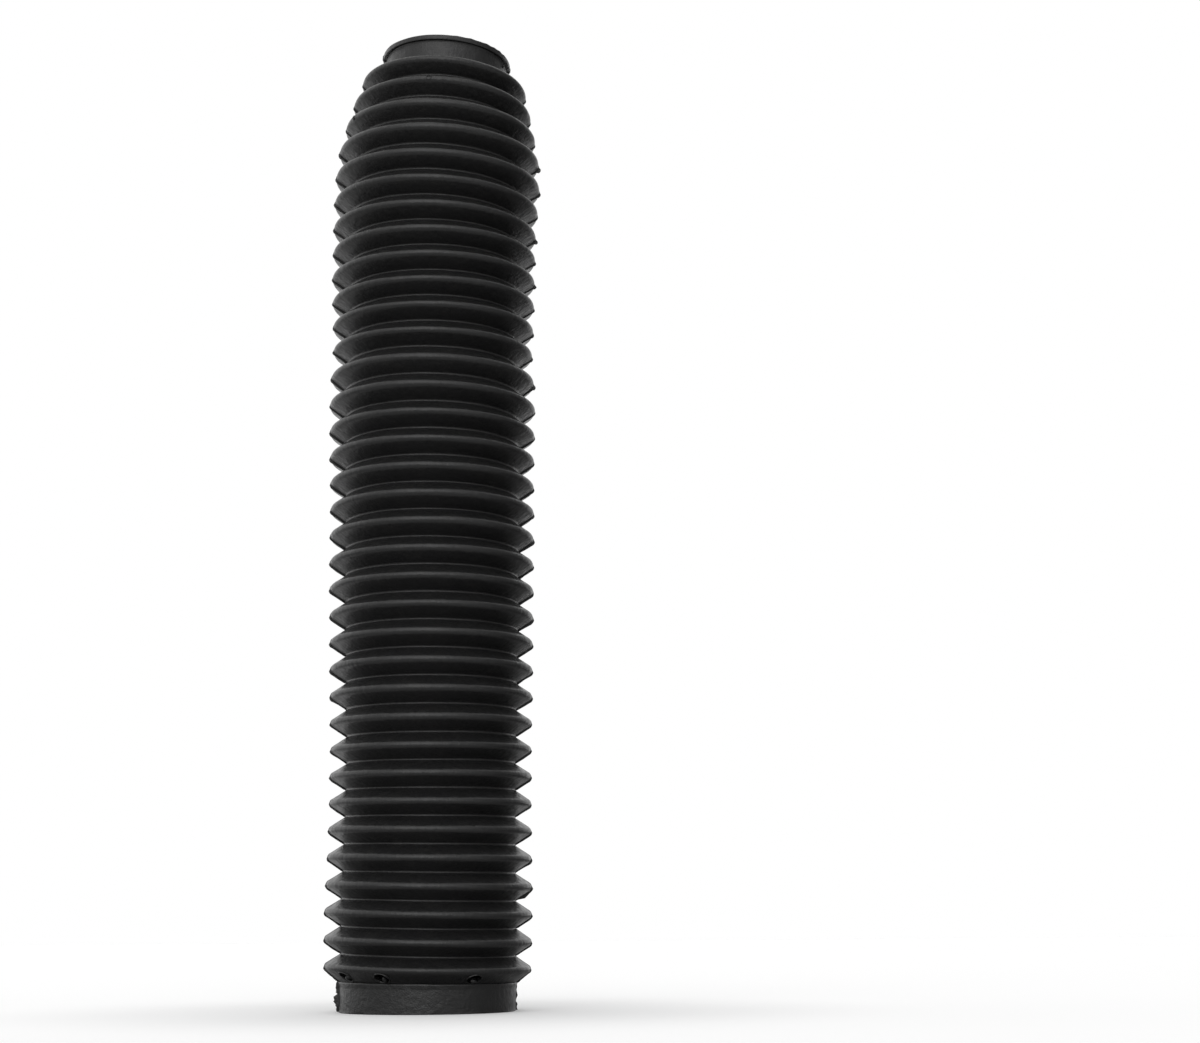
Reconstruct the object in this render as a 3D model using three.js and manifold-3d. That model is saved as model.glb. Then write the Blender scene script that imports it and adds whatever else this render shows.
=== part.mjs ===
// Fork gaiter: one moulded rubber bellows that covers the sliding tube of a telescopic fork.
// Millimetres, +Z up. It stands on its wide cuff, and the origin is the middle of that cuff's rim.
// The narrow neck is at the top, and the side with the breather holes faces -Y.
import * as THREE from 'three';
import { mergeVertices } from 'three/addons/utils/BufferGeometryUtils.js';
import Module from 'manifold-3d';

const wasm = await Module();
wasm.setup();

// Wide cuff, clamped round the lower fork leg
const wideCuffDiameter = 76;
const wideCuffHeight = 12.2;
const wideCuffWall = 2.5;

// Body folds, which swell slightly from the cuff to the shoulder; diameters are over the crests
const bodyFolds = 30;
const bodyPitch = 11.75;
const lowestCrestDiameter = 88;
const widestCrestDiameter = 92;
const foldDepth = 6.8;
const foldWall = 1.8;
const crestLand = 2;

// Shoulder folds, which shrink towards the neck along a power curve
const shoulderFolds = 5;
const shoulderPitch = 11.1;
const topCrestDiameter = 76;
const shoulderCurve = 1.6;

// Neck, clamped round the upper fork tube, with a thin lip at its rim
const neckDiameter = 56.6;
const neckHeight = 9.8;
const neckWall = 2.5;
const lipDiameter = 59.4;
const lipHeight = 2.3;

// Breather holes through the lower flank of the lowest fold; angles turn from -Y towards +X
const breatherDiameter = 6;
const breatherAngles = [-51.5, -23, 32.5];

// The relaxed rubber bends towards +X in one arc, and runs straight again up to the rim
const bendAngle = THREE.MathUtils.degToRad(4.4);
const bendLength = 82;
const straightAboveBend = 30;

// Steps round the axis, and round a breather hole
const roundSteps = 30;
const holeSteps = 10;

const folds = bodyFolds + shoulderFolds;
const shoulderStart = wideCuffHeight + bodyFolds * bodyPitch;
const neckStart = shoulderStart + shoulderFolds * shoulderPitch;
const overallLength = neckStart + neckHeight;
const bendEnd = overallLength - straightAboveBend;
const bendStart = bendEnd - bendLength;

const rubber = new THREE.MeshStandardMaterial({
  color: 0x1d1d1e,
  roughness: 0.52,
  metalness: 0,
});

// Height of the groove below a fold; the one below the lowest fold is the top of the wide cuff.
function grooveHeight(fold) {
  const body = Math.min(fold, bodyFolds);
  return wideCuffHeight + body * bodyPitch + (fold - body) * shoulderPitch;
}

function crestRadius(fold) {
  if (fold < bodyFolds) {
    const share = fold / (bodyFolds - 1);
    return THREE.MathUtils.lerp(lowestCrestDiameter, widestCrestDiameter, share) / 2;
  }
  const share = ((fold - bodyFolds) / (shoulderFolds - 1)) ** shoulderCurve;
  return THREE.MathUtils.lerp(widestCrestDiameter, topCrestDiameter, share) / 2;
}

function grooveRadius(fold) {
  if (fold === 0) return wideCuffDiameter / 2;
  if (fold === folds) return neckDiameter / 2;
  return (crestRadius(fold - 1) + crestRadius(fold)) / 2 - foldDepth;
}

function groovePoint(fold) {
  return new THREE.Vector2(grooveRadius(fold), grooveHeight(fold));
}

// The two edges of a crest's narrow land, side -1 below and 1 above.
function crestPoint(fold, side) {
  const middle = (grooveHeight(fold) + grooveHeight(fold + 1)) / 2;
  return new THREE.Vector2(crestRadius(fold), middle + side * crestLand / 2);
}

// Every straight stretch of wall from the wide rim up, by its outer ends and its thickness.
function wallStretches() {
  const wideRim = new THREE.Vector2(wideCuffDiameter / 2, 0);
  const neckTop = new THREE.Vector2(neckDiameter / 2, overallLength);
  const stretches = [{ from: wideRim, to: groovePoint(0), wall: wideCuffWall }];
  for (let fold = 0; fold < folds; fold += 1) {
    stretches.push({ from: groovePoint(fold), to: crestPoint(fold, -1), wall: foldWall });
    stretches.push({ from: crestPoint(fold, 1), to: groovePoint(fold + 1), wall: foldWall });
  }
  stretches.push({ from: groovePoint(folds), to: neckTop, wall: neckWall });
  return stretches;
}

// A stretch's inner face: a point on it and its direction. Inwards is left of the way up.
function innerFace({ from, to, wall }) {
  const along = to.clone().sub(from).normalize();
  const inwards = new THREE.Vector2(-along.y, along.x);
  return { point: from.clone().addScaledVector(inwards, wall), along };
}

function meetingPoint(first, second) {
  const between = second.point.clone().sub(first.point);
  const reach = between.cross(second.along) / first.along.cross(second.along);
  return first.point.clone().addScaledVector(first.along, reach);
}

function outerProfile() {
  const points = [new THREE.Vector2(wideCuffDiameter / 2, 0), groovePoint(0)];
  for (let fold = 0; fold < folds; fold += 1) {
    points.push(crestPoint(fold, -1), crestPoint(fold, 1), groovePoint(fold + 1));
  }
  points.push(
    new THREE.Vector2(neckDiameter / 2, overallLength - lipHeight),
    new THREE.Vector2(lipDiameter / 2, overallLength - lipHeight),
    new THREE.Vector2(lipDiameter / 2, overallLength),
  );
  return points;
}

function innerProfile() {
  const faces = wallStretches().map(innerFace);
  const points = [new THREE.Vector2(wideCuffDiameter / 2 - wideCuffWall, 0)];
  for (let i = 1; i < faces.length; i += 1) {
    points.push(meetingPoint(faces[i - 1], faces[i]));
  }
  points.push(new THREE.Vector2(neckDiameter / 2 - neckWall, overallLength));
  return points;
}

function asSolid(geometry) {
  geometry.deleteAttribute('normal');
  geometry.deleteAttribute('uv');
  const merged = mergeVertices(geometry);
  return new wasm.Manifold(new wasm.Mesh({
    numProp: 3,
    vertProperties: merged.attributes.position.array,
    triVerts: new Uint32Array(merged.index.array),
  }));
}

function asGeometry(solid) {
  const mesh = solid.getMesh();
  const geometry = new THREE.BufferGeometry();
  geometry.setAttribute('position', new THREE.BufferAttribute(mesh.vertProperties, 3));
  geometry.setIndex(new THREE.BufferAttribute(mesh.triVerts, 1));
  return geometry;
}

function bellowsSolid() {
  const outer = outerProfile();
  const ring = [...outer, ...innerProfile().reverse(), outer[0]];
  return asSolid(new THREE.LatheGeometry(ring, roundSteps).rotateX(Math.PI / 2));
}

// A pin through the middle of the lowest flank, square to it, longer than the wall is thick.
function breatherCutter(degrees) {
  const low = groovePoint(0);
  const high = crestPoint(0, -1);
  const middle = low.clone().add(high).divideScalar(2);
  const flankLean = Math.atan2(high.x - low.x, high.y - low.y);
  const length = 2.5 * foldWall;
  const pin = new THREE.CylinderGeometry(
    breatherDiameter / 2, breatherDiameter / 2, length, holeSteps,
  );
  pin.rotateX(flankLean);
  pin.translate(0, -middle.x, middle.y);
  pin.rotateZ(THREE.MathUtils.degToRad(degrees));
  return asSolid(pin);
}

// Moves a point of the straight gaiter to its place on the bent one.
function bendPoint(point) {
  const turned = bendAngle * THREE.MathUtils.clamp((point.z - bendStart) / bendLength, 0, 1);
  const bendRadius = bendLength / bendAngle;
  const above = Math.max(0, point.z - bendEnd);
  const axisX = bendRadius * (1 - Math.cos(turned)) + above * Math.sin(turned);
  const axisZ = bendRadius * Math.sin(turned) + above * Math.cos(turned);
  const across = point.x;
  point.x = axisX + across * Math.cos(turned);
  point.z = Math.min(point.z, bendStart) + axisZ - across * Math.sin(turned);
}

function bendGeometry(geometry) {
  const positions = geometry.attributes.position;
  const point = new THREE.Vector3();
  for (let i = 0; i < positions.count; i += 1) {
    point.fromBufferAttribute(positions, i);
    bendPoint(point);
    positions.setXYZ(i, point.x, point.y, point.z);
  }
}

function makeGaiter() {
  let solid = bellowsSolid();
  for (const degrees of breatherAngles) {
    solid = solid.subtract(breatherCutter(degrees));
  }
  const geometry = asGeometry(solid);
  bendGeometry(geometry);
  geometry.computeVertexNormals();
  const mesh = new THREE.Mesh(geometry, rubber);
  mesh.name = 'rubber_bellows';
  return mesh;
}

const gaiter = new THREE.Group();
gaiter.name = 'fork_gaiter';
gaiter.add(makeGaiter());

export default gaiter;
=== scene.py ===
import math

import bpy
import numpy as np
from mathutils import Euler, Matrix, Vector, noise


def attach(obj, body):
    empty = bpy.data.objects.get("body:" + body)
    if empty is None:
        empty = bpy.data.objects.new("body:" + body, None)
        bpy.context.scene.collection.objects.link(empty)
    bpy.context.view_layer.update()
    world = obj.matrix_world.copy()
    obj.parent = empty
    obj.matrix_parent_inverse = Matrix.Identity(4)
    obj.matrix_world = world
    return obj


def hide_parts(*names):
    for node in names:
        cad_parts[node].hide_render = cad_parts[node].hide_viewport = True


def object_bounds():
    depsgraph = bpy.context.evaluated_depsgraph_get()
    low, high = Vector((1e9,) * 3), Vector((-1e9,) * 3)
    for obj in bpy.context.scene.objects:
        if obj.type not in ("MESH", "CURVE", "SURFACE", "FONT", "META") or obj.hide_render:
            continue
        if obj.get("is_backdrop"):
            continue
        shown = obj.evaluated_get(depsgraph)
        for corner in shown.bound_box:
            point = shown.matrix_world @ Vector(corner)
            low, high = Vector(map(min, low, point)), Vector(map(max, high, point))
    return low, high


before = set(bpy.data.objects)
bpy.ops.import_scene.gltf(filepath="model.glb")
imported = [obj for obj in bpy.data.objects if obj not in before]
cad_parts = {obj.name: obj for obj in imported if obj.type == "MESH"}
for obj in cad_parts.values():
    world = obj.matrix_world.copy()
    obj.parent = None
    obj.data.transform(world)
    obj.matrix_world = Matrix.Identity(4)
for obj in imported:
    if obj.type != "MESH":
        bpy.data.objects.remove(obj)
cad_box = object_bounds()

# Sizes of the gaiter in metres, as in its solid
MM = 0.001
WIDE_CUFF_RADIUS = 38 * MM
WIDE_CUFF_HEIGHT = 12.2 * MM
WIDE_CUFF_WALL = 2.5 * MM
BODY_FOLDS = 30
BODY_PITCH = 11.75 * MM
LOWEST_CREST_RADIUS = 44 * MM
WIDEST_CREST_RADIUS = 46 * MM
FOLD_DEPTH = 6.8 * MM
FOLD_WALL = 1.8 * MM
SHOULDER_FOLDS = 5
SHOULDER_PITCH = 11.1 * MM
TOP_CREST_RADIUS = 38 * MM
SHOULDER_CURVE = 1.6
NECK_RADIUS = 28.3 * MM
NECK_HEIGHT = 9.8 * MM
NECK_WALL = 2.5 * MM
LIP_RADIUS = 29.7 * MM
LIP_HEIGHT = 2.3 * MM
BREATHER_RADIUS = 3 * MM
BREATHER_ANGLES = (-51.5, -23, 32.5)
BEND_ANGLE = math.radians(4.4)
BEND_LENGTH = 82 * MM
STRAIGHT_ABOVE_BEND = 30 * MM

FOLDS = BODY_FOLDS + SHOULDER_FOLDS
NECK_START = WIDE_CUFF_HEIGHT + BODY_FOLDS * BODY_PITCH + SHOULDER_FOLDS * SHOULDER_PITCH
OVERALL_LENGTH = NECK_START + NECK_HEIGHT
LIP_UNDERSIDE = OVERALL_LENGTH - LIP_HEIGHT
BEND_END = OVERALL_LENGTH - STRAIGHT_ABOVE_BEND
BEND_START = BEND_END - BEND_LENGTH
WIDE_CUFF_INSIDE = WIDE_CUFF_RADIUS - WIDE_CUFF_WALL
NECK_INSIDE = NECK_RADIUS - NECK_WALL

# Roundings of the moulded section
CREST_ROUND = 1.9 * MM
GROOVE_ROUND = 0.7 * MM
RIM_ROUND = 0.35 * MM

# The small step out at the top of the wide cuff: its depth, where the wall starts to lean
# out below it, the length of its face, and the sliver above it
CUFF_STEP = 0.3 * MM
CUFF_STEP_FOOT = 1.5 * MM
CUFF_STEP_FACE = 0.5 * MM
CUFF_STEP_SLIVER = 0.1 * MM

# The mould's two parting lines, as angles that turn from -Y towards +X
SEAM_ANGLES = (-82, 95)
LEFT, RIGHT = 0, 1

# How the soft wall departs from its mould. Each row gives a height, how much wider the
# radius is there, how far the axis strays towards +X and how far the ring sinks, in
# millimetres, and how far the ring tips back and then towards +X, in degrees.
RELAXED = np.array((
    (0, -0.4, -0.2, 0, 0, 0),
    (12, -0.4, -0.2, -0.4, -0.3, 0.8),
    (20, 0, -0.2, -0.1, -1.2, 1.4),
    (45, 0, 0, 0.4, -1.5, 1.3),
    (85, -0.9, 0.4, 0.5, -1.6, 0.4),
    (115, -1.1, 0.5, 1.0, -1.5, -0.1),
    (145, -0.7, 0.5, 1.4, -0.1, 0.2),
    (190, -0.3, 0.3, 1.4, 0.5, 0.3),
    (240, 0, 0.25, 1.2, 0.85, 0.45),
    (256, 0.3, 0.3, 1.2, 0.95, 0.6),
    (270, 0.5, 0.15, 0.8, 0.9, 0.8),
    (285, -1.1, -0.05, -0.85, -0.2, 0.7),
    (301, -0.7, 0.15, -0.25, 0.05, 0.5),
    (320, 0, 0.2, 0.3, -0.2, 0.15),
    (335, 0.05, 0.25, 0.75, -0.05, -0.05),
    (350, 0, 0.15, 1.45, 0.35, 0),
    (367, 0.35, 0.5, 1.25, 0.05, -0.1),
    (385, 0.3, 0.35, -0.4, -0.1, -1.25),
    (401, -0.3, 0.1, 0.1, 2.5, -1.3),
    (431, -0.5, 0, 0.1, 2.3, -1.0),
))

# Points of the section: shares of the way along a flank, dense at its ends so that its
# shading stays flat, and counts along each other stretch
FLANK_SHARES = (0.06, 0.5, 0.94)
LOWEST_FLANK_SHARES = (0.06, 0.2, 0.35, 0.5, 0.65, 0.8, 0.94)
CREST_STEPS = 9
GROOVE_STEPS = 4
CORNER_STEPS = 3
CUFF_STEPS = 18
NECK_STEPS = 8
LIP_STEPS = 4

# Columns of the mesh round the axis, and the extra ones at a parting line, in degrees
ROUND_STEPS = 84
SEAM_OFFSETS = (-1.6, -0.85, -0.55, -0.3, -0.1, 0.1, 0.3, 0.55, 0.85, 1.6)
SEAM_ZONE = 2.4

# Noise that makes the moulding uneven: how far it moves the wall, the size of its
# features, and its seed. A seed shifts the noise by so much in each direction.
SEED_SHIFTS = (17.3, 5.1, 9.7)
BROAD_WAVES = (0.28 * MM, 38 * MM, 1)
FINE_WAVES = (0.10 * MM, 9 * MM, 2)
STEP_RAGS = (0.3 * MM, 4 * MM, 3)
FOOT_RAGS = (0.35 * MM, 2.5 * MM, 4)

# Heights between which the rags of the wide cuff's step and foot set in
STEP_ZONE = (WIDE_CUFF_HEIGHT - 1.6 * MM, WIDE_CUFF_HEIGHT - 0.8 * MM)
FOOT_ZONE = (0.9 * MM, 0.2 * MM)

# Flash on the wide cuff, a value for the left parting line and one for the right: how far
# it stands out, and how ragged it is, in millimetres. On the left it has a lobe.
CUFF_FLASH = (1.1, 0.5)
CUFF_FLASH_RAGS = (1.6, 0.6)
CUFF_LOBE = 0.7
LOBE_BOTTOM = (2.2 * MM, 3 * MM)
LOBE_TOP = (7.8 * MM, 6.8 * MM)
CUFF_FLASH_REACH = 0.3 * MM

# Flash on the neck, in millimetres
NECK_FLASH = 0.3
NECK_FLASH_RAGS = 0.2

# Flash on the folds, in millimetres: everywhere, more of it on undersides, less of that on
# the right's high folds, and how far a nib and a tab stand out
FOLD_FLASH = 0.2
UNDERSIDE_FLASH = 0.5
LESS_WHERE_HIGH = 0.25
NIB_FLASH = 0.85
TAB_FLASH = 0.9
PATCHY_SHARE = 0.45
RAGGED_SHARE = 0.35

# How patchy the nibs are: their share on average, its change, and its most
NIB_SHARE = 0.25
NIB_PATCHY = 1.5
NIB_MOST = 1.1

# Where that flash changes: by the upward part of the surface's normal, and by the height
# in metres
UNDERSIDE = (0.15, -0.35)
NIB_SIDE = (-0.85, -0.6)
HIGH_FOLDS = (0.20, 0.28)

# The flash is trimmed short above this fold, over a stretch that starts so far above its
# crest and ends so far below the next one's
TRIMMED_FOLD = 31
TRIM_ABOVE = 4 * MM
TRIM_BELOW = 3 * MM
TRIMMED_AWAY = 0.8

# On the right it has a tab below this fold's crest
TAB_FOLD = 3
TAB_DROP = 3.6 * MM
TAB_EDGE = (1.3 * MM, 0.7 * MM)

# The flash's noise: the size of its rags and patches, and their seeds
RAGS_SIZE = 1.3 * MM
PATCH_SIZE = 7 * MM
RAGS_SEEDS = (40, 41)
PATCH_SEEDS = (50, 214)

# The untrimmed stretch of the neck's rim: how far it stands up, its even and its ragged
# share, the angles where it fades in and out, and its noise
LIP_FLASH_HEIGHT = 0.4 * MM
LIP_EVEN_SHARE = 0.7
LIP_RAGGED_SHARE = 1.6
LIP_FLASH_START = (5, 25)
LIP_FLASH_END = (80, 60)
LIP_RAGS_SIZE = 1.6 * MM
LIP_RAGS_SEED = 60


def smooth_step(low, high, value):
    t = np.clip((value - low) / (high - low), 0, 1)
    return t * t * (3 - 2 * t)


def groove_height(fold):
    body = min(fold, BODY_FOLDS)
    return WIDE_CUFF_HEIGHT + body * BODY_PITCH + (fold - body) * SHOULDER_PITCH


def crest_height(fold):
    return (groove_height(fold) + groove_height(fold + 1)) / 2


def crest_radius(fold):
    if fold < BODY_FOLDS:
        share = fold / (BODY_FOLDS - 1)
        return LOWEST_CREST_RADIUS + (WIDEST_CREST_RADIUS - LOWEST_CREST_RADIUS) * share
    share = ((fold - BODY_FOLDS) / (SHOULDER_FOLDS - 1)) ** SHOULDER_CURVE
    return WIDEST_CREST_RADIUS + (TOP_CREST_RADIUS - WIDEST_CREST_RADIUS) * share


def groove_radius(fold):
    if fold == 0:
        return WIDE_CUFF_RADIUS
    if fold == FOLDS:
        return NECK_RADIUS
    return (crest_radius(fold - 1) + crest_radius(fold)) / 2 - FOLD_DEPTH


def groove_centre(fold):
    return (groove_radius(fold) + GROOVE_ROUND, groove_height(fold))


def crest_centre(fold):
    return (crest_radius(fold) - CREST_ROUND, crest_height(fold))


def flank_angle(crest, groove, side):
    """The angle of the normal of the flank that joins a crest's rounding to a groove's, by
    the centres of both. Side is 1 for the flank above the crest and -1 for the one below."""
    out = crest[0] - groove[0]
    along = abs(crest[1] - groove[1])
    reach = math.hypot(out, along)
    lean = math.asin((CREST_ROUND + GROOVE_ROUND) / reach)
    return side * (math.atan2(out, along) + lean)


def direction(angle):
    return (math.cos(angle), math.sin(angle))


def point_between(start, end, share):
    return (
        start[0] + (end[0] - start[0]) * share,
        start[1] + (end[1] - start[1]) * share,
    )


def even_shares(steps):
    return [i / steps for i in range(1, steps)]


class Section:
    """The gaiter's section: points (radius, height) and their outward normals."""

    def __init__(self):
        self.points = []
        self.normals = []

    def add(self, point, normal):
        self.points.append(point)
        self.normals.append(normal)

    def add_arc(self, centre, radius, start, end, steps, hollow=False):
        """Adds points of an arc. Angles are those of the outward normal, up from the
        radial way."""
        way = -1 if hollow else 1
        for i in range(steps):
            normal = direction(start + (end - start) * i / (steps - 1))
            point = (
                centre[0] + way * radius * normal[0],
                centre[1] + way * radius * normal[1],
            )
            self.add(point, normal)

    def add_straight(self, end, normal, shares):
        """Adds points at these shares of the way from the last point to an end."""
        start = self.points[-1]
        for share in shares:
            self.add(point_between(start, end, share), normal)


OUTWARDS = (1.0, 0.0)
INWARDS = (-1.0, 0.0)
UPWARDS = (0.0, 1.0)
DOWNWARDS = (0.0, -1.0)


def add_wide_cuff(section):
    """The outside of the wide cuff, with the step at its top."""
    section.add((WIDE_CUFF_RADIUS, RIM_ROUND), OUTWARDS)
    step_foot = (WIDE_CUFF_RADIUS, WIDE_CUFF_HEIGHT - CUFF_STEP_FOOT)
    section.add_straight(step_foot, OUTWARDS, even_shares(CUFF_STEPS))
    corner = (
        WIDE_CUFF_RADIUS + CUFF_STEP - RIM_ROUND,
        WIDE_CUFF_HEIGHT - CUFF_STEP_SLIVER - RIM_ROUND,
    )
    section.add((corner[0] + RIM_ROUND, corner[1] - CUFF_STEP_FACE), OUTWARDS)
    section.add_arc(corner, RIM_ROUND, 0, math.pi / 2, CORNER_STEPS)


def add_fold(section, fold):
    """A fold: its lower flank, crest and upper flank, and the groove above it."""
    crest = crest_centre(fold)
    groove = groove_centre(fold + 1)
    below = flank_angle(crest, groove_centre(fold), -1)
    above = flank_angle(crest, groove, 1)
    way = direction(below)
    first = (crest[0] + CREST_ROUND * way[0], crest[1] + CREST_ROUND * way[1])
    section.add_straight(first, way, LOWEST_FLANK_SHARES if fold == 0 else FLANK_SHARES)
    section.add_arc(crest, CREST_ROUND, below, above, CREST_STEPS)
    way = direction(above)
    first = (groove[0] - GROOVE_ROUND * way[0], groove[1] - GROOVE_ROUND * way[1])
    section.add_straight(first, way, FLANK_SHARES)
    if fold + 1 < FOLDS:
        turn = flank_angle(crest_centre(fold + 1), groove, -1)
        section.add_arc(groove, GROOVE_ROUND, above, turn, GROOVE_STEPS, hollow=True)
    else:
        section.add_arc(groove, GROOVE_ROUND, above, 0, CORNER_STEPS, hollow=True)


def add_lip(section):
    """The lip and the rim of the neck, ending on the inside of the neck."""
    section.add((NECK_RADIUS, LIP_UNDERSIDE - RIM_ROUND), OUTWARDS)
    section.add((NECK_RADIUS + RIM_ROUND / 2, LIP_UNDERSIDE), DOWNWARDS)
    corner = (LIP_RADIUS - RIM_ROUND, LIP_UNDERSIDE + RIM_ROUND)
    section.add_arc(corner, RIM_ROUND, -math.pi / 2, 0, CORNER_STEPS)
    edge = (LIP_RADIUS, OVERALL_LENGTH - RIM_ROUND)
    section.add_straight(edge, OUTWARDS, even_shares(LIP_STEPS))
    corner = (LIP_RADIUS - RIM_ROUND, OVERALL_LENGTH - RIM_ROUND)
    section.add_arc(corner, RIM_ROUND, 0, math.pi / 2, CORNER_STEPS)
    edge = (NECK_INSIDE + RIM_ROUND, OVERALL_LENGTH)
    section.add_straight(edge, UPWARDS, even_shares(LIP_STEPS))
    corner = (NECK_INSIDE + RIM_ROUND, OVERALL_LENGTH - RIM_ROUND)
    section.add_arc(corner, RIM_ROUND, math.pi / 2, math.pi, CORNER_STEPS)


# The inside of the folds has a point for every third one of the outside but for those at
# either end, and keeps clear of the neck
INSIDE_STRIDE = 3
INSIDE_MARGIN = 2
NECK_CLEARANCE = 0.2 * MM


def add_folds_inside(section):
    """The inside of the folds, from the neck down: their wall's thickness in from the
    outside, which the section has by now."""
    folds = [
        (point, normal) for point, normal in zip(section.points, section.normals)
        if WIDE_CUFF_HEIGHT < point[1] < NECK_START
    ]
    section.add((NECK_INSIDE, NECK_START - NECK_CLEARANCE), INWARDS)
    for point, normal in reversed(folds[INSIDE_MARGIN:-INSIDE_MARGIN:INSIDE_STRIDE]):
        moved = (point[0] - FOLD_WALL * normal[0], point[1] - FOLD_WALL * normal[1])
        if moved[0] > NECK_INSIDE + NECK_CLEARANCE:
            section.add(moved, (-normal[0], -normal[1]))


def add_wide_rim(section):
    """The inside of the wide cuff and its rim, back to where the section starts."""
    section.add((WIDE_CUFF_INSIDE, WIDE_CUFF_HEIGHT - CUFF_STEP_SLIVER), INWARDS)
    section.add((WIDE_CUFF_INSIDE, WIDE_CUFF_HEIGHT / 2), INWARDS)
    corner = (WIDE_CUFF_INSIDE + RIM_ROUND, RIM_ROUND)
    section.add_arc(corner, RIM_ROUND, math.pi, 1.5 * math.pi, CORNER_STEPS)
    corner = (WIDE_CUFF_RADIUS - RIM_ROUND, RIM_ROUND)
    section.add_arc(corner, RIM_ROUND, -math.pi / 2, -math.pi / 12, CORNER_STEPS)


def gaiter_section():
    """The closed section of the rubber wall, and how many of its points are outside."""
    section = Section()
    add_wide_cuff(section)
    for fold in range(FOLDS):
        add_fold(section, fold)
    section.add_straight((NECK_RADIUS, LIP_UNDERSIDE), OUTWARDS, even_shares(NECK_STEPS))
    add_lip(section)
    outside = len(section.points)
    add_folds_inside(section)
    add_wide_rim(section)
    return section, outside


def azimuths():
    """Angles of the mesh's columns: even, with extra ones at the parting lines."""
    even = [360 * i / ROUND_STEPS - 180 for i in range(ROUND_STEPS)]
    seams = [s + o for s in SEAM_ANGLES for o in SEAM_OFFSETS]
    kept = [a for a in even if all(abs(a - s) > SEAM_ZONE for s in SEAM_ANGLES)]
    return np.radians(sorted(kept + seams))


def field(places, size, seed):
    """Smooth noise from -1 to 1 at places in metres; size is that of its features."""
    shift = Vector([seed * way for way in SEED_SHIFTS])
    return np.array([noise.noise(Vector(place) / size + shift) for place in zip(*places)])


def trimming(height):
    """What share of the flash on the folds is left: less on the highest ones."""
    start = crest_height(TRIMMED_FOLD) + TRIM_ABOVE
    end = crest_height(TRIMMED_FOLD + 1) - TRIM_BELOW
    return 1 - TRIMMED_AWAY * smooth_step(start, end, height)


def fold_flash(seam, height, facing, patchy, ragged):
    """Flash on the folds in millimetres. It is thickest on their undersides, and has nibs
    on the right's upper folds."""
    under = smooth_step(*UNDERSIDE, facing)
    left_over = trimming(height)
    high = smooth_step(*HIGH_FOLDS, height) * (seam == RIGHT) * left_over
    plain = FOLD_FLASH + (UNDERSIDE_FLASH - LESS_WHERE_HIGH * high) * under
    plain = plain * (1 + PATCHY_SHARE * patchy + RAGGED_SHARE * ragged)
    nib = NIB_FLASH * (under * smooth_step(*NIB_SIDE, facing) * high)
    nib = nib * np.clip(NIB_SHARE + NIB_PATCHY * patchy, 0, NIB_MOST)
    stand = plain * (1 + left_over) / 2 + nib
    if seam == RIGHT:
        from_tab = np.abs(height - crest_height(TAB_FOLD) + TAB_DROP)
        stand = stand + TAB_FLASH * smooth_step(*TAB_EDGE, from_tab)
    return stand


def cuff_flash(seam, height, ragged):
    """Flash on the wide cuff in millimetres."""
    stand = CUFF_FLASH[seam] + CUFF_FLASH_RAGS[seam] * ragged
    if seam == LEFT:
        lobe = smooth_step(*LOBE_BOTTOM, height) * smooth_step(*LOBE_TOP, height)
        stand = stand + CUFF_LOBE * lobe
    return stand


def flash_height(seam, facing, places):
    """How far the flash stands out along a parting line. Facing is the upward part of the
    surface's normal, so it is below zero on the underside of a fold."""
    height = places[2]
    ragged = field(places, RAGS_SIZE, RAGS_SEEDS[seam])
    patchy = field(places, PATCH_SIZE, PATCH_SEEDS[seam])
    on_folds = fold_flash(seam, height, facing, patchy, ragged)
    on_neck = NECK_FLASH + NECK_FLASH_RAGS * ragged
    on_cuff = cuff_flash(seam, height, ragged)
    stand = np.where(height > NECK_START, on_neck, on_folds)
    stand = np.where(height < WIDE_CUFF_HEIGHT + CUFF_FLASH_REACH, on_cuff, stand)
    return np.clip(stand, 0, None) * MM


def lip_flash(angle, places):
    """The untrimmed stretch of the rim, on its right front quarter."""
    turn = np.degrees(angle)
    along = smooth_step(*LIP_FLASH_START, turn) * smooth_step(*LIP_FLASH_END, turn)
    high = smooth_step(LIP_UNDERSIDE, OVERALL_LENGTH, places[2])
    ragged = field(places, LIP_RAGS_SIZE, LIP_RAGS_SEED)
    share = np.clip(LIP_EVEN_SHARE + LIP_RAGGED_SHARE * ragged, 0, None)
    return LIP_FLASH_HEIGHT * along * high * share


def waves(places, kind):
    move, size, seed = kind
    return move * field(places, size, seed)


def unevenness(places):
    """How far the moulding is uneven, with a ragged step and foot on the wide cuff."""
    height = places[2]
    on_step = smooth_step(*STEP_ZONE, height) * (height < WIDE_CUFF_HEIGHT)
    on_foot = smooth_step(*FOOT_ZONE, height)
    uneven = waves(places, BROAD_WAVES) + waves(places, FINE_WAVES)
    uneven = uneven + waves(places, STEP_RAGS) * on_step
    return uneven + np.clip(waves(places, FOOT_RAGS), 0, None) * on_foot


# How far a parting line's ridge reaches to either side: its top, its foot, and where the
# wall is sure to be plain again
RIDGE_TOP = 0.25 * MM
RIDGE_FOOT = 0.45 * MM
RIDGE_ZONE = 0.5 * MM


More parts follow.
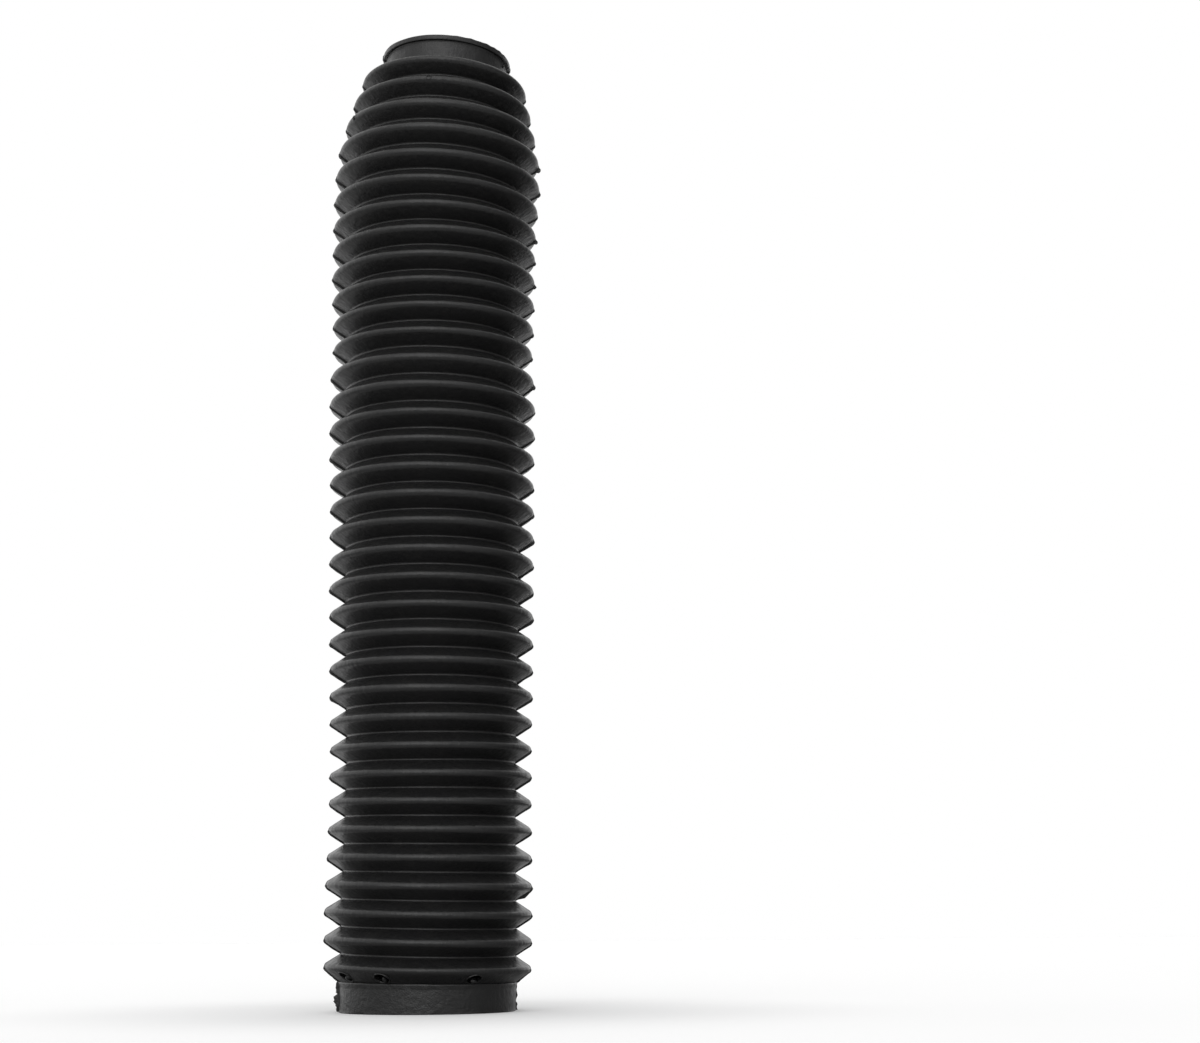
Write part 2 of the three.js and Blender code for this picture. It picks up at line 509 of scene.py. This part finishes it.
def displaced(radius, height, normal, angle, is_outer):
    """Moves points of the outside by the unevenness of the moulding and its flash."""
    places = np.stack([radius * np.sin(angle), -radius * np.cos(angle), height])
    move = unevenness(places) * is_outer
    for index, seam in enumerate(SEAM_ANGLES):
        across = np.abs(angle - math.radians(seam)) * radius
        near = across < RIDGE_ZONE
        ridge = smooth_step(RIDGE_FOOT, RIDGE_TOP, across[near]) * is_outer[near]
        stand = flash_height(index, normal[near, 1], places[:, near])
        move[near] = move[near] + ridge * stand
    new_height = height + move * normal[:, 1] * (height > RIM_ROUND)
    return radius + move * normal[:, 0], new_height + lip_flash(angle, places)


def relaxed(points):
    """Gives the straight gaiter the small departures of soft rubber from its mould."""
    x, y, z = points.T
    heights = RELAXED[:, 0] * MM
    wider, astray, sunk = (np.interp(z, heights, RELAXED[:, i]) * MM for i in (1, 2, 3))
    back, aside = (np.tan(np.radians(np.interp(z, heights, RELAXED[:, i]))) for i in (4, 5))
    scale = 1 + wider / np.hypot(x, y)
    return np.stack([x * scale + astray, y * scale, z - y * back - x * aside - sunk], axis=1)


def bent(points):
    """Bends the straight gaiter: an array of points in, the moved ones out."""
    x, y, z = points.T
    turned = BEND_ANGLE * np.clip((z - BEND_START) / BEND_LENGTH, 0, 1)
    bend_radius = BEND_LENGTH / BEND_ANGLE
    above = np.maximum(0, z - BEND_END)
    axis_x = bend_radius * (1 - np.cos(turned)) + above * np.sin(turned)
    axis_z = bend_radius * np.sin(turned) + above * np.cos(turned)
    new_x = axis_x + x * np.cos(turned)
    new_z = np.minimum(z, BEND_START) + axis_z - x * np.sin(turned)
    return np.stack([new_x, y, new_z], axis=1)


def mesh_object(name, points, faces):
    mesh = bpy.data.meshes.new(name)
    mesh.from_pydata([tuple(p) for p in points], [], faces)
    mesh.update()
    made = bpy.data.objects.new(name, mesh)
    bpy.context.scene.collection.objects.link(made)
    return made


def looped_faces(first, rows, count):
    """Faces that join rows of points, each a closed loop, and the last row to the first."""
    faces = []
    for i in range(rows):
        this = first + i * count
        other = first + (i + 1) % rows * count
        for j in range(count):
            k = (j + 1) % count
            faces.append((this + j, other + j, other + k, this + k))
    return faces


def swept_skin():
    """The whole rubber wall as one closed mesh, still straight."""
    section, outside = gaiter_section()
    count = len(section.points)
    columns = azimuths()
    radius, height = np.tile(np.array(section.points), (len(columns), 1)).T
    normal = np.tile(np.array(section.normals), (len(columns), 1))
    is_outer = np.tile((np.arange(count) < outside).astype(float), len(columns))
    angle = np.repeat(columns, count)
    radius, height = displaced(radius, height, normal, angle, is_outer)
    points = np.stack([radius * np.sin(angle), -radius * np.cos(angle), height], axis=1)
    return mesh_object("gaiter", points, looped_faces(0, len(columns), count))


# Breather holes: how far up the lowest flank their middles lie, how much wider the punch
# left them than the solid has them and how much they wobble, as shares of the radius, and
# how far the cutting pins reach to either side of the wall
BREATHER_SHARE = 0.54
HOLE_WIDER = 1.07
HOLE_WOBBLE = 0.10
PIN_REACH = 5 * MM
PIN_STEPS = 28

# What the punch left in each breather hole: a flap of rubber, by how far it lies from the
# middle of the hole towards +X and up the flank, its half width and half height, and how
# far out of the wall it bulges. In millimetres, a row for each hole.
BREATHER_FLAPS = (
    (0.5, -0.5, 1.7, 1.2, 1.7),
    (0.8, -1.7, 0.9, 2.3, 1.9),
    (0.6, -1.9, 1.5, 1.3, 1.7),
)
FLAP_SINK = 0.7 * MM
FLAP_RAGGED = 0.25

# The raised edge of a hole, a wire round it
HOLE_EDGE_WIDER = 0.15 * MM
HOLE_EDGE_BULGE = 0.38 * MM
HOLE_EDGE_RAGGED = 0.6

# Small marks that the moulding left: curls on two crests, and a nib on the neck. A row for
# each, with its angle, height and distance from the axis, and its radius. A curl's row ends
# with the radius of its wire.
CURLS = (
    (-5, crest_height(33) + 0.5 * MM, crest_radius(33) - 0.1 * MM, 1.1 * MM, 0.28 * MM),
    (-61, crest_height(32) - 0.2 * MM, crest_radius(32), 0.8 * MM, 0.3 * MM),
)
NECK_NIB = (73, OVERALL_LENGTH - 4.2 * MM, NECK_RADIUS, 0.8 * MM)
CURL_LOPSIDED = 0.2

# Steps of the small round pieces
BALL_ROWS = 9
BALL_STEPS = 22
RING_STEPS = 44
RING_SIDES = 8


def breather_place(degrees):
    """A matrix at the middle of a breather hole on the lowest flank, with Z square to it."""
    low = (WIDE_CUFF_RADIUS, WIDE_CUFF_HEIGHT)
    crest = crest_centre(0)
    turn = flank_angle(crest, groove_centre(0), -1)
    top = (crest[0] + CREST_ROUND * math.cos(turn), crest[1] + CREST_ROUND * math.sin(turn))
    middle = point_between(low, top, BREATHER_SHARE)
    place = Matrix.Rotation(math.radians(degrees), 4, "Z")
    place = place @ Matrix.Translation((0, -middle[0], middle[1]))
    return place @ Matrix.Rotation(math.pi / 2 - turn, 4, "X")


def hole_radius(degrees, turn):
    """A breather hole's radius in one direction; its edge isn't quite round."""
    wobble = noise.noise(Vector((math.cos(turn), math.sin(turn), degrees)))
    return BREATHER_RADIUS * (HOLE_WIDER + HOLE_WOBBLE * wobble)


def add_pin(points, faces, degrees):
    """A closed pin through the wall at one breather hole."""
    place = breather_place(degrees)
    first = len(points)
    for rise in (-PIN_REACH, PIN_REACH):
        for i in range(PIN_STEPS):
            turn = 2 * math.pi * i / PIN_STEPS
            r = hole_radius(degrees, turn)
            points.append(place @ Vector((r * math.cos(turn), r * math.sin(turn), rise)))
    ring = list(range(first, first + PIN_STEPS))
    faces.append(tuple(reversed(ring)))
    faces.append(tuple(i + PIN_STEPS for i in ring))
    for i in range(PIN_STEPS):
        this, other = ring[i], ring[(i + 1) % PIN_STEPS]
        faces.append((this, other, other + PIN_STEPS, this + PIN_STEPS))


def breather_cutter():
    """Three pins in one mesh, to cut the breather holes with."""
    points, faces = [], []
    for degrees in BREATHER_ANGLES:
        add_pin(points, faces, degrees)
    return mesh_object("cutter", points, faces)


def add_ball(points, faces, place_point):
    """Adds a closed round mesh; place_point gives the point for two angles on it."""
    first = len(points)
    for i in range(BALL_ROWS + 1):
        rise = math.pi * (i / BALL_ROWS - 0.5)
        for j in range(BALL_STEPS):
            points.append(place_point(2 * math.pi * j / BALL_STEPS, rise))
    for i in range(BALL_ROWS):
        low, high = first + i * BALL_STEPS, first + (i + 1) * BALL_STEPS
        for j in range(BALL_STEPS):
            k = (j + 1) % BALL_STEPS
            faces.append((low + j, low + k, high + k, high + j))


def add_ring(points, faces, matrix, middle, thickness):
    """Adds a closed ring round a matrix's Z. Middle and thickness give its radius and the
    radius of its wire for an angle."""
    first = len(points)
    for i in range(RING_STEPS):
        turn = 2 * math.pi * i / RING_STEPS
        for j in range(RING_SIDES):
            side = 2 * math.pi * j / RING_SIDES
            r = middle(turn) + thickness(turn) * math.cos(side)
            rise = thickness(turn) * math.sin(side)
            points.append(matrix @ Vector((r * math.cos(turn), r * math.sin(turn), rise)))
    faces.extend(looped_faces(first, RING_STEPS, RING_SIDES))


def breather_flaps():
    """The flaps in the breather holes, still straight, as one mesh."""
    points, faces = [], []
    for degrees, flap in zip(BREATHER_ANGLES, BREATHER_FLAPS):
        matrix = breather_place(degrees)
        across, up, half_width, half_height, bulge = (value * MM for value in flap)

        def place_point(turn, rise):
            out = math.cos(rise)
            rags = noise.noise(Vector((2 * math.cos(turn), 2 * math.sin(turn), degrees)))
            ragged = 1 + FLAP_RAGGED * rags
            x = across + half_width * out * math.cos(turn) * ragged
            y = up + half_height * out * math.sin(turn) * ragged
            return matrix @ Vector((x, y, bulge * math.sin(rise) - FLAP_SINK))

        add_ball(points, faces, place_point)
    return mesh_object("breather_flaps", points, faces)


def breather_edges():
    """The raised, ragged edges of the breather holes, still straight, as one mesh."""
    points, faces = [], []
    for degrees in BREATHER_ANGLES:

        def middle(turn):
            return hole_radius(degrees, turn) + HOLE_EDGE_WIDER

        def thickness(turn):
            place = Vector((3 * math.cos(turn), 3 * math.sin(turn), degrees + 5))
            return HOLE_EDGE_BULGE * (1 + HOLE_EDGE_RAGGED * noise.noise(place))

        add_ring(points, faces, breather_place(degrees), middle, thickness)
    return mesh_object("breather_edges", points, faces)


def mark_place(degrees, height, distance):
    """A matrix at a mark, with Z out of the wall."""
    place = Matrix.Rotation(math.radians(degrees), 4, "Z")
    place = place @ Matrix.Translation((0, -distance, height))
    return place @ Matrix.Rotation(math.pi / 2, 4, "X")


def add_curl(points, faces, matrix, radius, wire):
    def middle(turn):
        return radius * (1 + CURL_LOPSIDED * math.cos(turn))

    def thickness(turn):
        return wire

    add_ring(points, faces, matrix, middle, thickness)


def add_nib(points, faces, matrix, radius):
    def place_point(turn, rise):
        return matrix @ Vector((
            radius * math.cos(rise) * math.cos(turn),
            radius * math.cos(rise) * math.sin(turn),
            radius * math.sin(rise),
        ))

    add_ball(points, faces, place_point)


def moulding_marks():
    """The curls and the nib, still straight, as one mesh."""
    points, faces = [], []
    for degrees, height, distance, radius, wire in CURLS:
        add_curl(points, faces, mark_place(degrees, height, distance), radius, wire)
    degrees, height, distance, radius = NECK_NIB
    add_nib(points, faces, mark_place(degrees, height, distance), radius)
    return mesh_object("moulding_marks", points, faces)


def cut(target, cutter):
    """Cuts one mesh out of another and keeps the result in the target."""
    modifier = target.modifiers.new("cut", "BOOLEAN")
    modifier.operation = "DIFFERENCE"
    modifier.solver = "EXACT"
    modifier.object = cutter
    bpy.context.view_layer.update()
    shown = target.evaluated_get(bpy.context.evaluated_depsgraph_get())
    mesh = bpy.data.meshes.new_from_object(shown)
    target.modifiers.clear()
    target.data = mesh
    bpy.data.objects.remove(cutter)


def settle(mesh):
    """Takes a mesh from the straight mould's shape to the real gaiter's."""
    points = np.empty(len(mesh.vertices) * 3)
    mesh.vertices.foreach_get("co", points)
    moved = bent(relaxed(points.reshape(-1, 3)))
    mesh.vertices.foreach_set("co", moved.ravel())
    mesh.update()


class Nodes:
    """Adds nodes to one node tree and wires them."""

    def __init__(self, tree):
        self.tree = tree

    def wire(self, value, socket):
        self.tree.links.new(value, socket)

    def add(self, kind, inputs, **settings):
        node = self.tree.nodes.new(kind)
        for name, value in settings.items():
            setattr(node, name, value)
        for name, value in inputs.items():
            if isinstance(value, bpy.types.NodeSocket):
                self.wire(value, node.inputs[name])
            else:
                node.inputs[name].default_value = value
        return node

    def math(self, operation, first, second):
        inputs = {0: first, 1: second}
        return self.add("ShaderNodeMath", inputs, operation=operation).outputs[0]

    def times(self, first, second):
        return self.math("MULTIPLY", first, second)

    def vector_math(self, operation, inputs, output):
        return self.add("ShaderNodeVectorMath", inputs, operation=operation).outputs[output]

    def dot(self, first, second):
        return self.vector_math("DOT_PRODUCT", {0: first, 1: second}, "Value")

    def separate(self, vector):
        return self.add("ShaderNodeSeparateXYZ", {"Vector": vector}).outputs

    def combine(self, x, y, z):
        return self.add("ShaderNodeCombineXYZ", {"X": x, "Y": y, "Z": z}).outputs["Vector"]

    def spread(self, value, limits, results):
        """Goes smoothly from the first result to the second between two limits."""
        inputs = {"Value": value, "From Min": limits[0], "From Max": limits[1]}
        inputs.update({"To Min": results[0], "To Max": results[1]})
        kind = "ShaderNodeMapRange"
        return self.add(kind, inputs, interpolation_type="SMOOTHSTEP").outputs["Result"]

    def noise(self, vector, scale, detail, rough=0.5):
        inputs = {"Vector": vector, "Scale": scale, "Detail": detail, "Roughness": rough}
        return self.add("ShaderNodeTexNoise", inputs).outputs["Fac"]

    def seen(self, rays):
        """1 for the camera's own rays, also where they come through something clear."""
        return self.math("MAXIMUM", rays["Is Camera Ray"], rays["Is Transmission Ray"])


def new_material(name):
    """A material, its nodes and its shader."""
    material = bpy.data.materials.new(name)
    material.use_nodes = True
    tree = material.node_tree
    return material, Nodes(tree), tree.nodes["Principled BSDF"]


# The rubber's fine relief: how high its mottle, its grain and its streaks stand
MOTTLE_RELIEF = 0.26 * MM
GRAIN_RELIEF = 0.10 * MM
STREAK_RELIEF = 0.09 * MM

# Scales of the rubber's noise: features to a metre, or to a radian round the axis
MOTTLE_SCALE = 420.0
GRAIN_SCALE = 1700.0
DUST_SCALE = 130.0
SPECK_SCALE = 800.0
STREAKS_ROUND = 42.0
STREAKS_ALONG = 190.0

RUBBER_COLOUR = (0.0112, 0.0112, 0.0115, 1)
DUSTY_COLOUR = (0.0167, 0.0164, 0.0158, 1)
ROUGHNESS = (0.28, 0.40)
DUST_PATCHES = (0.0, 0.75)
DUST_SPECKS = (-0.25, 0.45)
SHARP_ANGLE = math.radians(40)

# A colour mix has sockets of the same names for numbers and vectors, so it goes by number
MIX_FIRST, MIX_SECOND, MIX_RESULT = 6, 7, 2


def wall_streaks(nodes, place):
    """Fine wrinkles that run from groove to crest: noise over the angle round the axis."""
    parts = nodes.separate(place)
    turn = nodes.math("ARCTAN2", parts["X"], nodes.times(parts["Y"], -1.0))
    round_axis = nodes.times(turn, STREAKS_ROUND)
    along_axis = nodes.times(parts["Z"], STREAKS_ALONG)
    laid_out = nodes.combine(round_axis, along_axis, 0.0)
    return nodes.noise(laid_out, 1.0, detail=2.0)


def rubber_relief(nodes, place, mottle):
    """The normal of the rubber's mottled, grainy and streaky surface."""
    waves = nodes.times(mottle, MOTTLE_RELIEF)
    grain = nodes.times(nodes.noise(place, GRAIN_SCALE, detail=2.0), GRAIN_RELIEF)
    lines = nodes.times(wall_streaks(nodes, place), STREAK_RELIEF)
    height = nodes.math("ADD", nodes.math("ADD", waves, grain), lines)
    return nodes.add("ShaderNodeBump", {"Height": height, "Distance": 1.0}).outputs["Normal"]


def rubber_colour(nodes, place):
    """Black rubber with patches and specks of dust."""
    broad = nodes.noise(place, DUST_SCALE, detail=4.0, rough=0.65)
    patches = nodes.spread(broad, (0.45, 0.75), DUST_PATCHES)
    fine = nodes.noise(place, SPECK_SCALE, detail=2.0)
    specks = nodes.spread(fine, (0.35, 0.7), DUST_SPECKS)
    inputs = {
        "Factor": nodes.math("ADD", patches, specks),
        MIX_FIRST: RUBBER_COLOUR,
        MIX_SECOND: DUSTY_COLOUR,
    }
    return nodes.add("ShaderNodeMix", inputs, data_type="RGBA").outputs[MIX_RESULT]


def rubber_material():
    material, nodes, shader = new_material("black_rubber")
    place = nodes.add("ShaderNodeTexCoord", {}).outputs["Object"]
    mottle = nodes.noise(place, MOTTLE_SCALE, detail=3.0)
    rough = nodes.spread(mottle, (0.3, 0.7), ROUGHNESS)
    nodes.wire(rubber_relief(nodes, place, mottle), shader.inputs["Normal"])
    nodes.wire(rubber_colour(nodes, place), shader.inputs["Base Color"])
    nodes.wire(rough, shader.inputs["Roughness"])
    return material


def finish_piece(piece, material):
    settle(piece.data)
    piece.data.shade_smooth()
    piece.data.set_sharp_from_angle(angle=SHARP_ANGLE)
    piece.data.materials.clear()
    piece.data.materials.append(material)
    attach(piece, "root")
    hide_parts("rubber_bellows")


def make_gaiter():
    rubber = rubber_material()
    gaiter = swept_skin()
    cut(gaiter, breather_cutter())
    for piece in (gaiter, breather_flaps(), breather_edges(), moulding_marks()):
        finish_piece(piece, rubber)


# The floor reaches this far to each side. It is pale to the camera, but to the rest of the
# scene it carries painted shade in front of the gaiter and beside it, for the rubber to
# mirror.
FLOOR_REACH = 6.0
PALE = 0.8
# Painted shade that rays other than the camera's see on the floor: in front, left and right
PAINTED_SHADE_FRONT, PAINTED_SHADE_LEFT, PAINTED_SHADE_RIGHT = 0.44, 0.28, 0.06
# The floor's glow: weaker by the gaiter, which paints shade round it, and stronger far off
GLOW_BY_GAITER, GLOW_FAR_OFF = 0.11, 0.24

# Where the floor changes, in metres: across its left and right, from its front to its back,
# and with the distance from the gaiter
LEFT_TO_RIGHT = (-0.05, 0.35)
FRONT_TO_SIDE = (-0.13, 0.0)
SIDE_TO_BACK = (-0.02, 0.24)
BACK_LEFT_TO_RIGHT = (0.03, 0.15)
NEAR_TO_AWAY = (0.25, 0.5)
AWAY_TO_FAR = (0.9, 1.5)
# Distances from the gaiter over which its painted shade fades as the glow grows
PAINTED_SHADE_ZONE = (0.06, 0.22)

# The way on behind the gaiter, a little to the left, and the cosines of the angles from it
# between which the far floor turns pale
FAR_WAY = 195
FAR_COSINES = (0.4, 0.78)


def toward(turn, rise):
    """The direction at an angle from -Y towards +X, and at an angle above the floor."""
    turn, rise = math.radians(turn), math.radians(rise)
    flat = math.cos(rise)
    return (flat * math.sin(turn), -flat * math.cos(turn), math.sin(rise))


def cosine(degrees):
    return math.cos(math.radians(degrees))


def pale_share(nodes, place, parts, away):
    """How pale the floor is to all but the camera: 1 close behind the gaiter, where the
    camera sees it, less on the right, and 0 in front, where the floor carries painted shade
    for a dark room. It is pale again far behind, like the white surroundings there."""
    behind = nodes.spread(parts["Y"], SIDE_TO_BACK, (0.0, 1.0))
    near = nodes.spread(away, NEAR_TO_AWAY, (1.0, 0.25))
    left = nodes.spread(parts["X"], BACK_LEFT_TO_RIGHT, (1.0, 0.2))
    close_by = nodes.times(nodes.times(behind, near), left)
    ahead = nodes.math("DIVIDE", nodes.dot(place, toward(FAR_WAY, 0)), away)
    straight_on = nodes.spread(ahead, FAR_COSINES, (0.0, 1.0))
    far_off = nodes.times(straight_on, nodes.spread(away, AWAY_TO_FAR, (0.0, 1.0)))
    return nodes.math("MAXIMUM", close_by, far_off)


def floor_grey_and_painted_shade(nodes, parts, pale, seen):
    """The floor's grey: pale to the camera, with painted shade in places to other rays."""
    # Painted shade: darker in front, and darkest on the right, for the rubber to mirror
    side = nodes.spread(parts["X"], LEFT_TO_RIGHT, (PAINTED_SHADE_LEFT, PAINTED_SHADE_RIGHT))
    painted_shade = nodes.spread(parts["Y"], FRONT_TO_SIDE, (PAINTED_SHADE_FRONT, side))
    unseen = nodes.spread(pale, (0.0, 1.0), (painted_shade, PALE))
    return nodes.math("MAXIMUM", unseen, nodes.times(seen, PALE))


def floor_glow(nodes, away, pale, rays, seen):
    """A faint glow that keeps the floor white to the camera. It is weaker by the gaiter,
    which paints shade round it on top of its real shadow. The gaiter mirrors some of it
    where the floor is pale."""
    mirrored = nodes.times(rays["Is Glossy Ray"], pale)
    mirrored = nodes.times(mirrored, GLOW_BY_GAITER)
    # Painted shade: less glow close by the gaiter darkens the floor round it
    straight_on = nodes.spread(away, PAINTED_SHADE_ZONE, (GLOW_BY_GAITER, GLOW_FAR_OFF))
    return nodes.math("MAXIMUM", nodes.times(seen, straight_on), mirrored)


def floor_material():
    material, nodes, shader = new_material("pale_floor")
    place = nodes.add("ShaderNodeNewGeometry", {}).outputs["Position"]
    rays = nodes.add("ShaderNodeLightPath", {}).outputs
    parts = nodes.separate(place)
    away = nodes.vector_math("LENGTH", {0: place}, "Value")
    pale = pale_share(nodes, place, parts, away)
    seen = nodes.seen(rays)
    grey_and_painted_shade = floor_grey_and_painted_shade(nodes, parts, pale, seen)
    nodes.wire(nodes.combine(grey_and_painted_shade, grey_and_painted_shade, grey_and_painted_shade), shader.inputs["Base Color"])
    nodes.wire(floor_glow(nodes, away, pale, rays, seen), shader.inputs["Emission Strength"])
    shader.inputs["Emission Color"].default_value = (1, 1, 1, 1)
    shader.inputs["Roughness"].default_value = 0.9
    return material


def make_floor():
    """A floor that the camera sees white, with the gaiter's own shadow on it, deepened by
    painted shade close by, and with painted shade in places to other rays.
    """
    square = ((-1, -1), (1, -1), (1, 1), (-1, 1))
    corners = [(x * FLOOR_REACH, y * FLOOR_REACH, 0) for x, y in square]
    floor = mesh_object("floor", corners, [(0, 1, 2, 3)])
    floor.data.materials.append(floor_material())
    floor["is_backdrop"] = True


# The camera stands low in front of the wide end and looks up along the gaiter.
PHOTO_WIDTH = 1200
CAMERA_PLACE = (74.9 * MM, -924.9 * MM, 33.6 * MM)
CAMERA_TILT = 0.1907
CAMERA_ROLL = -0.0075
FOCAL_PIXELS = 2115.8
SENSOR_WIDTH = 36
CLIP_START, CLIP_END = 0.05, 50


def make_camera():
    data = bpy.data.cameras.new("camera")
    data.sensor_fit = "HORIZONTAL"
    data.sensor_width = SENSOR_WIDTH
    data.lens = FOCAL_PIXELS / PHOTO_WIDTH * SENSOR_WIDTH
    data.clip_start = CLIP_START
    data.clip_end = CLIP_END
    camera = bpy.data.objects.new("camera", data)
    turn = Euler((math.pi / 2 + CAMERA_TILT, 0, 0)).to_matrix()
    roll = Matrix.Rotation(CAMERA_ROLL, 3, "Z")
    camera.matrix_world = Matrix.Translation(CAMERA_PLACE) @ (turn @ roll).to_4x4()
    bpy.context.scene.collection.objects.link(camera)
    bpy.context.scene.camera = camera


# The room is darkest below and brighter above the horizon: its strengths, and the upward
# parts of a direction between which they change
ROOM_STRENGTHS = (0.1, 0.74)
ROOM_RISE = (-0.4, 0.12)
WHITE_BEHIND = (-0.3, 0.15)

# The soft light's direction, the cosines of the angles from it between which its edge
# brightens, and its strength
LIGHT_WAY = toward(-8, 30)
LIGHT_EDGE = (cosine(42), cosine(8))
LIGHT_STRENGTH = 1.08

# The room's dim side, where the photo's second gaiter lies, the cosines of the angles from
# it between which it dims, what share of the light it keeps, and where it brightens again
DIM_WAY = toward(103, 0)
DIM_EDGE = (cosine(50), cosine(26))
DIMMEST = 0.25
DIM_TOP = (0.6, 0.85)


def room_strength(nodes, way, parts):
    """How bright the surroundings are: dark below, dim round about, bright high in front,
    and white behind the gaiter."""
    room = nodes.spread(parts["Z"], ROOM_RISE, ROOM_STRENGTHS)
    light = nodes.spread(nodes.dot(way, LIGHT_WAY), LIGHT_EDGE, (0.0, LIGHT_STRENGTH))
    lit = nodes.math("ADD", room, light)
    behind = nodes.spread(parts["Y"], WHITE_BEHIND, (0.0, 1.0))
    return nodes.math("ADD", lit, nodes.times(behind, nodes.math("SUBTRACT", 1.0, lit)))


def dim_side(nodes, parts):
    """What share of its light the room keeps: less on its dim side, except high up."""
    flat = nodes.combine(parts["X"], parts["Y"], 0.0)
    flat_way = nodes.vector_math("NORMALIZE", {0: flat}, "Vector")
    dimmest = nodes.spread(parts["Z"], DIM_TOP, (DIMMEST, 1.0))
    return nodes.spread(nodes.dot(flat_way, DIM_WAY), DIM_EDGE, (1.0, dimmest))


def make_studio():
    """White surroundings behind, a soft light high in front, and a dim room round them."""
    world = bpy.data.worlds.new("studio")
    bpy.context.scene.world = world
    world.use_nodes = True
    nodes = Nodes(world.node_tree)
    way = nodes.add("ShaderNodeTexCoord", {}).outputs["Generated"]
    parts = nodes.separate(way)
    strength = nodes.times(room_strength(nodes, way, parts), dim_side(nodes, parts))
    seen = nodes.seen(nodes.add("ShaderNodeLightPath", {}).outputs)
    unseen = nodes.times(nodes.math("SUBTRACT", 1.0, seen), strength)
    background = world.node_tree.nodes["Background"].inputs
    background["Color"].default_value = (1, 1, 1, 1)
    nodes.wire(nodes.math("ADD", unseen, seen), background["Strength"])


def write_sizes():
    boxes = [[list(corner) for corner in box] for box in (cad_box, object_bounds())]


make_camera()
make_gaiter()
make_floor()
make_studio()
bpy.context.scene.view_settings.view_transform = "Standard"
write_sizes()
